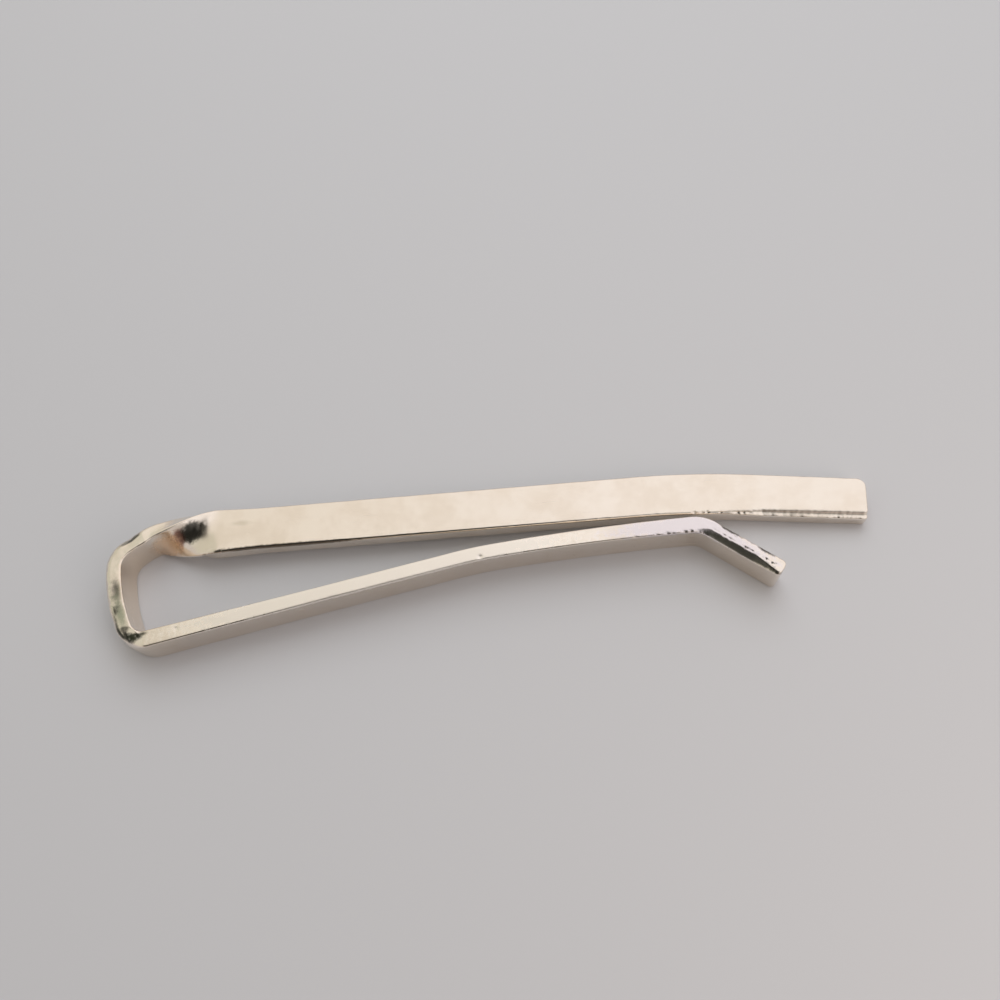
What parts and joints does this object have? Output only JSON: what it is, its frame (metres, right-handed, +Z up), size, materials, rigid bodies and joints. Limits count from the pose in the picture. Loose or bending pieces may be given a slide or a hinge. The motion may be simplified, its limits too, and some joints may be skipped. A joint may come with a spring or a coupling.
{
  "type": "tie clip",
  "caption": "Slide-on spring tie clip: flat front bar, quarter twist, bow bent on edge, and a springy back arm with a flared lead-in tip.",
  "frame": {"origin": "bottom centre of the whole clip as it lies on a table, with the spring relaxed", "axes": "+X along the straight front bar from the closed bow to its free tip, +Y in the table's plane from the back arm to the front bar, +Z up from the table, out of the front bar's wide face"},
  "size_m": [0.0602, 0.0112, 0.0032],
  "materials": {
    "silver": "polished solid silver, hand worn: fine lengthwise scratches, small dents and pits, dark tarnish in the bends"
  },
  "bodies": {
    "front": {"front_bar": "silver", "quarter_twist": "silver", "upper_bow": "silver"},
    "back": {"lower_bow": "silver", "back_arm": "silver", "lead_in_tip": "silver"}
  },
  "joints": [
    {"name": "spring_opening", "type": "hinge", "parent": "front", "child": "back", "pos_m": [-0.02965, -0.00174, 0.0016], "axis": [0, 0, -1], "range_deg": [0, 5], "stiffness_Nm_per_rad": 1.4}
  ]
}
